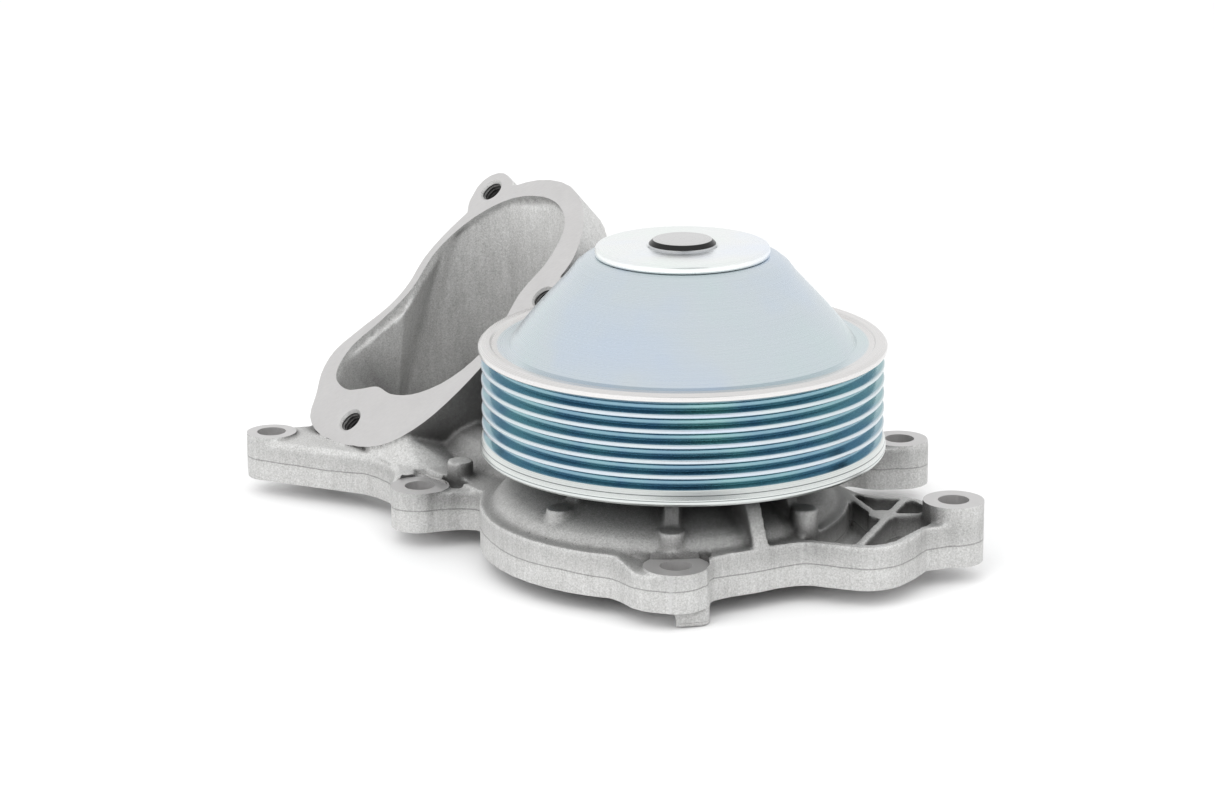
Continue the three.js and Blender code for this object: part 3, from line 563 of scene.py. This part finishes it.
def studio():
    """A pale sky that is darker low down in front, as a room behind a photographer is."""
    scene = bpy.context.scene
    scene.view_settings.view_transform = "Standard"
    world = bpy.data.worlds.new("studio")
    scene.world = world
    world.use_nodes = True
    nodes, links = world.node_tree.nodes, world.node_tree.links
    way = nodes.new("ShaderNodeTexCoord").outputs["Generated"]

    dot = nodes.new("ShaderNodeVectorMath")
    dot.operation = "DOT_PRODUCT"
    links.new(way, dot.inputs[0])
    dot.inputs[1].default_value = Vector((0.15, -1, -0.15)).normalized()
    ramp = nodes.new("ShaderNodeValToRGB")
    links.new(dot.outputs["Value"], ramp.inputs["Fac"])
    stops = ((0.84, (1, 1, 1, 1)), (0.985, (0.05, 0.07, 0.09, 1)))
    for element, (position, colour) in zip(ramp.color_ramp.elements, stops):
        element.position = position
        element.color = colour
    back = nodes["Background"]
    links.new(ramp.outputs["Color"], back.inputs["Color"])
    back.inputs["Strength"].default_value = 1.0
    area_light("key", (-0.5, -0.8, 0.8), 7)
    area_light("fill", (0.6, -0.6, 0.8), 3)


# ---------------------------------------------------------------- housing
# Bosses of the casting in millimetres: x, y, radius, height of the machined top.
BOSSES = (
    (-105.5, 53.7, 6.4, 11.3), (-64.2, 11.2, 7.2, 10), (-1.6, -47.4, 7.4, 9.2), (63.8, -15, 7.3, 14.6),
    (55, 47.2, 7.1, 11.2), (12, 55, 7.1, 11.2), (-55, 106, 7.1, 11.2))
BOLT_RADIUS = 3.7
TOWER_RADIUS = 18.4
TOWER_TOP = 63
# Material that stays on the machined faces until they are cut, in millimetres.
STOCK = 1.4
# The tongue under the front boss is the only thing that reaches below the engine face.
TONGUE = ((-2.5, -50.7), (-1.1, -51.8), (5.1, -50.2), (6.1, -48.9), (6.1, -44.7), (-2.5, -44.7))
# Where the two halves of the casting die met, in millimetres above the engine face.
PARTING_HEIGHT = 5.2
# Screw holes of the neck, along and up its machined face from the neck_face mount.
NECK_SCREWS = ((-20.3, 73.3), (25.6, 48), (-9.5, -0.7))
# The volute's dome with the pads on it, which no cutter may touch: x, y, radius, foot and head.
DOME = (-4.5, -1, 42.2, 4, 20)
# What the cutters of the engine face and of the neck face sweep: x0, y0, x1, y1 on that face.
ENGINE_FACE_SWEEP = (-150, -90, 110, 150)
NECK_FACE_SWEEP = (-60, -7.5, 50, 95)
# How far a milling cutter starts above the stock, and how far a drill goes past each end of a boss.
CUTTER_RUN_IN = 2
DRILL_BELOW = 8
DRILL_ABOVE = 6
# The casting's voxel size in millimetres. The casting's voxels, coarser for quick
# tests.
HOUSING_VOXEL = 0.5


def neck_plane():
    """The neck's machined face: a matrix with its level, upward and outward directions."""
    row = next(mount for mount in RECORD["mounts"] if mount["name"] == "neck_face")
    outward = Vector(row["axis"]).normalized()
    level = Vector((0, 0, 1)).cross(outward).normalized()
    upward = outward.cross(level)
    at = Vector(row["pos_m"])
    return Matrix((
        (level.x, upward.x, outward.x, at.x), (level.y, upward.y, outward.y, at.y),
        (level.z, upward.z, outward.z, at.z), (0, 0, 0, 1)))


def machined_levels():
    """Every machined face: a matrix whose Z points out of it, and how far it reaches, in millimetres."""
    levels = [(neck_plane(), 200), (Matrix.Rotation(math.pi, 4, "X"), 400)]
    levels.append((Matrix.Translation((0, 0, TOWER_TOP * MM)), TOWER_RADIUS + 1))
    for x, y, radius, top in BOSSES:
        levels.append((Matrix.Translation((x * MM, y * MM, top * MM)), radius + 1))
    return levels


def add_stock(bm):
    """Moves every machined face of the casting outward by the stock."""
    levels = [(place.inverted(), place.to_3x3(), reach) for place, reach in machined_levels()]
    for vert in bm.verts:
        for back, turn, reach in levels:
            local = back @ vert.co
            if abs(local.z) < 0.03 * MM and local.xy.length < reach * MM:
                vert.co += turn @ Vector((0, 0, STOCK * MM))
                break


def prism(bm, outline, z0, z1, hole=(), place=Matrix()):
    """Adds an upright block with an outline in millimetres, with or without a hole."""
    loops = []
    for ring in (outline, hole):
        if ring:
            verts = [bm.verts.new((x * MM, y * MM, z0 * MM)) for x, y in ring]
            loops += [bm.edges.new((verts[i - 1], verts[i])) for i in range(len(verts))]
    filled = bmesh.ops.triangle_fill(bm, edges=loops, use_beauty=True)["geom"]
    faces = [f for f in filled if isinstance(f, bmesh.types.BMFace)]
    base = {v for f in faces for v in f.verts}
    grown = bmesh.ops.extrude_face_region(bm, geom=faces, use_keep_orig=True)["geom"]
    top = {v for v in grown if isinstance(v, bmesh.types.BMVert)}
    bmesh.ops.translate(bm, verts=list(top), vec=(0, 0, (z1 - z0) * MM))
    bmesh.ops.transform(bm, matrix=place, verts=list(top | base))


def circle(radius, x=0, y=0, segments=64):
    """The points of a circle in millimetres."""
    turns = [2 * math.pi * i / segments for i in range(segments)]
    return [(x + radius * math.cos(t), y + radius * math.sin(t)) for t in turns]


def rectangle(x0, y0, x1, y1):
    """The corners of a rectangle in millimetres."""
    return [(x0, y0), (x1, y0), (x1, y1), (x0, y1)]


def face_cutters():
    """Blocks that mill the engine face, the neck face, the boss tops and the tower top."""
    height = STOCK + CUTTER_RUN_IN
    bm = bmesh.new()
    prism(bm, rectangle(*ENGINE_FACE_SWEEP), -height, 0, TONGUE)
    prism(bm, rectangle(*NECK_FACE_SWEEP), 0, height + CUTTER_RUN_IN, place=neck_plane())
    prism(bm, circle(TOWER_RADIUS + 1, segments=96), TOWER_TOP, TOWER_TOP + height)
    for x, y, radius, top in BOSSES:
        prism(bm, circle(radius + 0.3, x, y), top, top + height)
    bmesh.ops.recalc_face_normals(bm, faces=bm.faces)
    cutters = from_bmesh("face_cutters", bm)
    x, y, radius, foot, head = DOME
    bm = bmesh.new()
    prism(bm, circle(radius, x, y, 128), foot, head)
    bmesh.ops.recalc_face_normals(bm, faces=bm.faces)
    dome = from_bmesh("dome", bm)
    subtract(cutters, dome)
    bake(cutters)
    bpy.data.objects.remove(dome)
    return cutters


def screw_thread(bm, place, depth=11, pitch=1.0, major=3.05, minor=2.6):
    """Adds a tap's shape: a helical groove, a countersink at the mouth and a drill point."""
    around = 32
    per_turn = 6
    turns_outside = 2
    countersink = 0.3
    drill_point = 1.4
    rings = []
    for k in range(-turns_outside * per_turn, int(depth / pitch) * per_turn + 1):
        down = k * pitch / per_turn
        ring = []
        for i in range(around):
            phase = (down / pitch + i / around) % 1
            radius = minor + (major - minor) * (1 - abs(2 * phase - 1))
            radius = max(radius, major + countersink - max(down, 0))
            turn = 2 * math.pi * i / around
            spot = Vector((radius * math.cos(turn), radius * math.sin(turn), -down)) * MM
            ring.append(bm.verts.new(place @ spot))
        rings.append(ring)
    for upper, lower in zip(rings, rings[1:]):
        for i in range(around):
            j = (i + 1) % around
            bm.faces.new((upper[i], upper[j], lower[j], lower[i]))
    bm.faces.new(rings[0])
    tip = bm.verts.new(place @ (Vector((0, 0, -depth - drill_point)) * MM))
    for i in range(around):
        bm.faces.new((rings[-1][i], rings[-1][(i + 1) % around], tip))


def hole_cutters():
    """Clearance drills for the bosses and taps for the neck's screw holes."""
    bm = bmesh.new()
    for x, y, _, top in BOSSES:
        prism(bm, circle(BOLT_RADIUS, x, y, 48), -DRILL_BELOW, top + DRILL_ABOVE)
    for across, up in NECK_SCREWS:
        screw_thread(bm, neck_plane() @ Matrix.Translation((across * MM, up * MM, 0)))
    bmesh.ops.recalc_face_normals(bm, faces=bm.faces)
    return from_bmesh("hole_cutters", bm)


def machined_face(face, levels):
    """True for faces that a cutter left: flat in a machined level, or inside a drilled hole."""
    middle = face.calc_center_median()
    for back, outward, reach in levels:
        local = back @ middle
        in_level = abs(local.z) < 0.01 * MM and local.xy.length < reach * MM
        if in_level and face.normal.dot(outward) > 0.99:
            return True
    drilled = (BOLT_RADIUS + 0.03) * MM
    return any(math.dist(middle.xy, (x * MM, y * MM)) < drilled for x, y, _, _ in BOSSES)


def mark_machined_faces(casting):
    """Cut faces get the milled material and, unless they are tiny, flat shading."""
    up = Vector((0, 0, 1))
    levels = [(place.inverted(), place.to_3x3() @ up, reach) for place, reach in machined_levels()]
    casting.data.materials.clear()
    casting.data.materials.append(CAST)
    casting.data.materials.append(MACHINED)
    bm = bmesh.new()
    bm.from_mesh(casting.data)
    for face in bm.faces:
        face.material_index = int(machined_face(face, levels))
    bm.to_mesh(casting.data)
    bm.free()
    shade(casting, 42)
    smallest_flat = 0.2 * MM ** 2
    for polygon in casting.data.polygons:
        if polygon.material_index:
            polygon.use_smooth = polygon.area < smallest_flat


def build_housing():
    """The casting with stock on it, softened as a casting is, and then machined."""
    bm = cad_bmesh("housing")
    add_stock(bm)
    casting = from_bmesh("housing_casting", bm)
    soften(casting, HOUSING_VOXEL, 6, 0.5)
    cutters = [face_cutters(), hole_cutters()]
    for cutter in cutters:
        subtract(casting, cutter)
    bake(casting)
    for cutter in cutters:
        bpy.data.objects.remove(cutter)
    mark_machined_faces(casting)
    finish_piece(casting, "housing", CAST)


# ---------------------------------------------------------------- pulley, hub and shaft
def build_pulley():
    """The pressed pulley, and its turned hub: a boss with a round-edged disc on top."""
    turned_again("pulley_rim", "pulley", ZINC, 0.35, 256)
    low, high = (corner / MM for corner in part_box("pulley_hub"))
    disc, top = high.x, high.z
    boss, bore, seat = 12, 8.0, 70.53
    profile = [
        (bore, low.z), (boss, low.z, 0.8), (boss, seat), (disc, seat, 0.5), (disc, top, 0.95),
        (bore + 0.6, top, 0.1), (bore, top - 0.5)]
    hub = shade(lathe("pulley_hub_disc", rounded(profile, 6), 192), 40)
    finish_piece(hub, "pulley_hub", ZINC_HUB)


# The shaft in millimetres: its length, the chamfer of its front end, and the thin tail's radius and end.
SHAFT_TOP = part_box("shaft")[1].z / MM
SHAFT_CHAMFER = 1
TAIL_RADIUS = 6
TAIL_END = 23
# The rollers' track: where it starts and ends, and its radius.
ROLLER_TRACK = (30.4, 41.6, 7.7)
# The balls' groove: the circle its middle runs on, its height and its own radius.
BALL_TRACK = (10.2, 54, 3.1)


def build_shaft():
    """Bearing shaft: thin tail through the seal and impeller, two running tracks, chamfered end."""
    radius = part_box("shaft")[1].x / MM
    track_from, track_to, track = ROLLER_TRACK
    ball_circle, ball_height, groove = BALL_TRACK
    reach = math.acos((ball_circle - radius) / groove)
    turns = [math.pi + reach * (1 - k / 6) for k in range(13)]
    groove_arc = [(ball_circle + groove * math.cos(t), ball_height + groove * math.sin(t)) for t in turns]
    profile = [
        (0, 0), (TAIL_RADIUS, 0, 0.8), (TAIL_RADIUS, TAIL_END, 0.3), (radius, TAIL_END + 1.2, 0.3),
        (radius, track_from), (track, track_from), (track, track_to), (radius, track_to), *groove_arc,
        (radius, SHAFT_TOP - SHAFT_CHAMFER, 0.15), (radius - SHAFT_CHAMFER, SHAFT_TOP, 0.15),
        (0, SHAFT_TOP)]
    obj = shade(lathe("bearing_shaft", rounded(profile), 96), 30)
    finish_piece(obj, "shaft", SHAFT_STEEL)


# ---------------------------------------------------------------- everything else
def build_inner_parts():
    """Bearing rings and seals, the mechanical seal, the impeller and the face gasket."""
    turned_again("bearing_race", "bearing_outer_ring", STEEL)
    turned_again("bearing_lip_seal_rear", "bearing_seal_rear", RUBBER, 0.1)
    turned_again("bearing_lip_seal_front", "bearing_seal_front", RUBBER, 0.1)
    turned_again("seal_cup_shell", "seal_cup", STAINLESS, 0.25)
    turned_again("seal_bellows_boot", "seal_bellows", RUBBER, 0.25)
    turned_again("seal_carbon_face", "carbon_ring", CARBON, 0.12)
    turned_again("seal_retainer_ring", "seal_retainer", STAINLESS, 0.12)
    turned_again("seal_counter_ring", "seal_seat", CERAMIC, 0.15)
    turned_again("seal_seat_boot", "seat_sleeve", RUBBER, 0.15)
    turned_again("impeller_insert", "impeller_bush", BRASS, 0.2)
    moulded("impeller_wheel", "impeller", 0.4, 4, IMPELLER)
    moulded("gasket_cord", "face_gasket", 0.3, 3, RUBBER)


def dress_cad_nodes():
    """CAD nodes that keep their shape get their slot's material."""
    by_slot = {
        "cast_aluminium": CAST, "zinc_plated_steel": ZINC_HUB, "ground_steel": STEEL,
        "bearing_steel": BEARING, "stainless_steel": STAINLESS, "rubber": RUBBER, "carbon": CARBON,
        "ceramic": CERAMIC, "cage_plastic": CAGE, "impeller_plastic": IMPELLER, "brass": BRASS,
    }
    for node, obj in NODES.items():
        obj.data.materials.clear()
        obj.data.materials.append(by_slot[SLOT_OF[node]])


# ---------------------------------------------------------------- the scene
CAST = cast_aluminium()
MACHINED = machined_aluminium()
ZINC = zinc_plate("zinc_plate_pulley", (0.60, 0.66, 0.70), has_belt_track=True)
ZINC_HUB = zinc_plate("zinc_plate_hub", (0.86, 0.88, 0.88))
SHAFT_STEEL = shaft_end_steel()
STEEL = turned_metal("ground_steel", (0.55, 0.56, 0.57), 1.0, 0.28)
BEARING = turned_metal("bearing_steel", (0.66, 0.67, 0.68), 1.0, 0.12)
STAINLESS = turned_metal("stainless_steel", (0.60, 0.60, 0.61), 1.0, 0.24)
BRASS = turned_metal("brass", (0.62, 0.44, 0.18), 1.0, 0.28)
RUBBER = moulded_stuff("rubber", (0.016, 0.016, 0.018), 0.62)
CARBON = moulded_stuff("carbon", (0.03, 0.03, 0.034), 0.4)
CERAMIC = moulded_stuff("ceramic", (0.72, 0.68, 0.60), 0.25, 0.3, 0.01)
CAGE = moulded_stuff("cage_nylon", (0.62, 0.56, 0.40), 0.45)
IMPELLER = moulded_stuff("impeller_plastic", (0.035, 0.032, 0.028), 0.45, 0.6)

camera()
floor()
studio()
dress_cad_nodes()
build_housing()
build_pulley()
build_shaft()
build_inner_parts()
